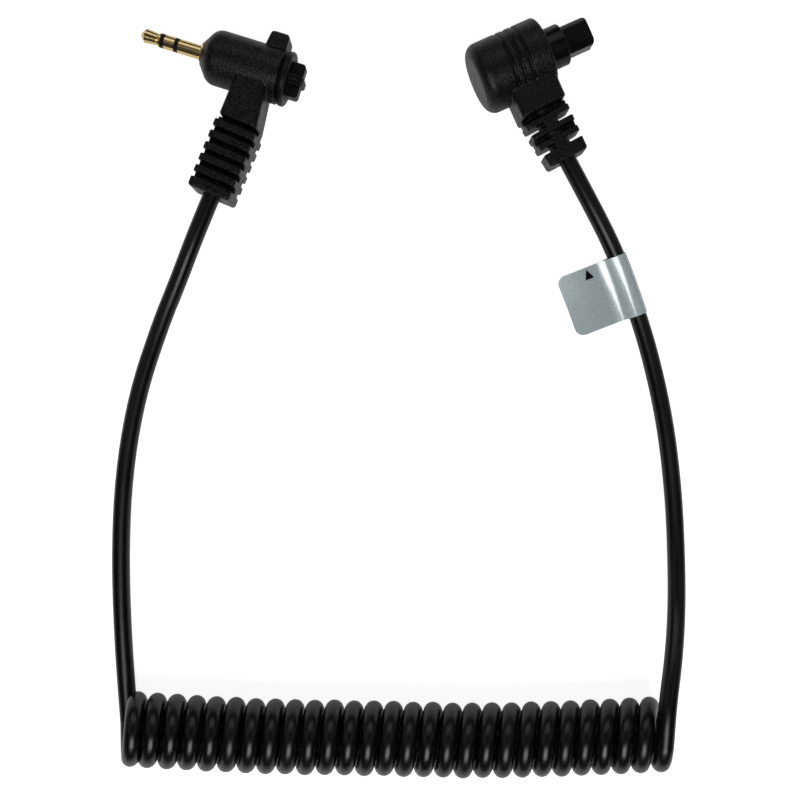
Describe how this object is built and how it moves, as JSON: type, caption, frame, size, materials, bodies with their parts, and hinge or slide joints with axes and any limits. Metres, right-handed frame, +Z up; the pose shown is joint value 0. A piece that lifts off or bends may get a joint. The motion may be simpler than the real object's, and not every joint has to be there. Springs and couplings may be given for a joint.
{
  "type": "electronic cable shutter release",
  "caption": "Curly electronic cable release: a coiled black cord with a right-angled gold jack plug for the remote and a right-angled grooved plug with a square nose for the camera",
  "frame": {"origin": "midway between the two plugs, on the surface that the object lies on: the bottom centre of the box round both plugs, without the cord", "axes": "+Z up from that surface; +X from the jack plug to the camera plug, along the coil, which is how the coil stretches; +Y from the coil to the plugs"},
  "size_m": [0.103, 0.1327, 0.0127],
  "materials": {
    "soft_black": "fine-grained matte black PVC overmoulding",
    "hard_black": "hard black inner moulding",
    "gloss_black": "smooth black engineering plastic",
    "cord_black": "satin black PVC jacket",
    "gold": "bright gold plating on brass",
    "insulator": "black acetal insulator",
    "core_red": "red core insulation",
    "core_white": "white core insulation",
    "core_bare": "bare copper strands, twisted",
    "foil": "silver-grey metallised polyester label"
  },
  "bodies": {
    "remote_half": {"jack_tip": "gold", "jack_ring": "gold", "jack_sleeve": "gold", "jack_tip_insulator": "insulator", "jack_ring_insulator": "insulator", "jack_sleeve_lug": "gold", "jack_ring_lug": "gold", "jack_tip_lug": "gold", "remote_core_common": "core_bare", "remote_core_focus": "core_white", "remote_core_shutter": "core_red", "remote_inner_moulding": "hard_black", "remote_overmould": "soft_black", "remote_strain_relief": "soft_black", "remote_lead": "cord_black", "cord_coil": "cord_black"},
    "camera_half": {"camera_lead": "cord_black", "flag_label": "foil", "camera_strain_relief": "soft_black", "camera_overmould": "soft_black", "camera_inner_moulding": "hard_black", "camera_collar": "gloss_black", "camera_nose": "gloss_black", "contact_focus": "gold", "contact_shutter": "gold", "contact_common": "gold", "camera_core_common": "core_bare", "camera_core_focus": "core_white", "camera_core_shutter": "core_red"}
  },
  "joints": [
    {"name": "coil_stretch", "type": "slide", "parent": "remote_half", "child": "camera_half", "axis": [1, 0, 0], "range_m": [0, 0.27], "stiffness_N_per_m": 18, "deforming": ["cord_coil"]}
  ]
}
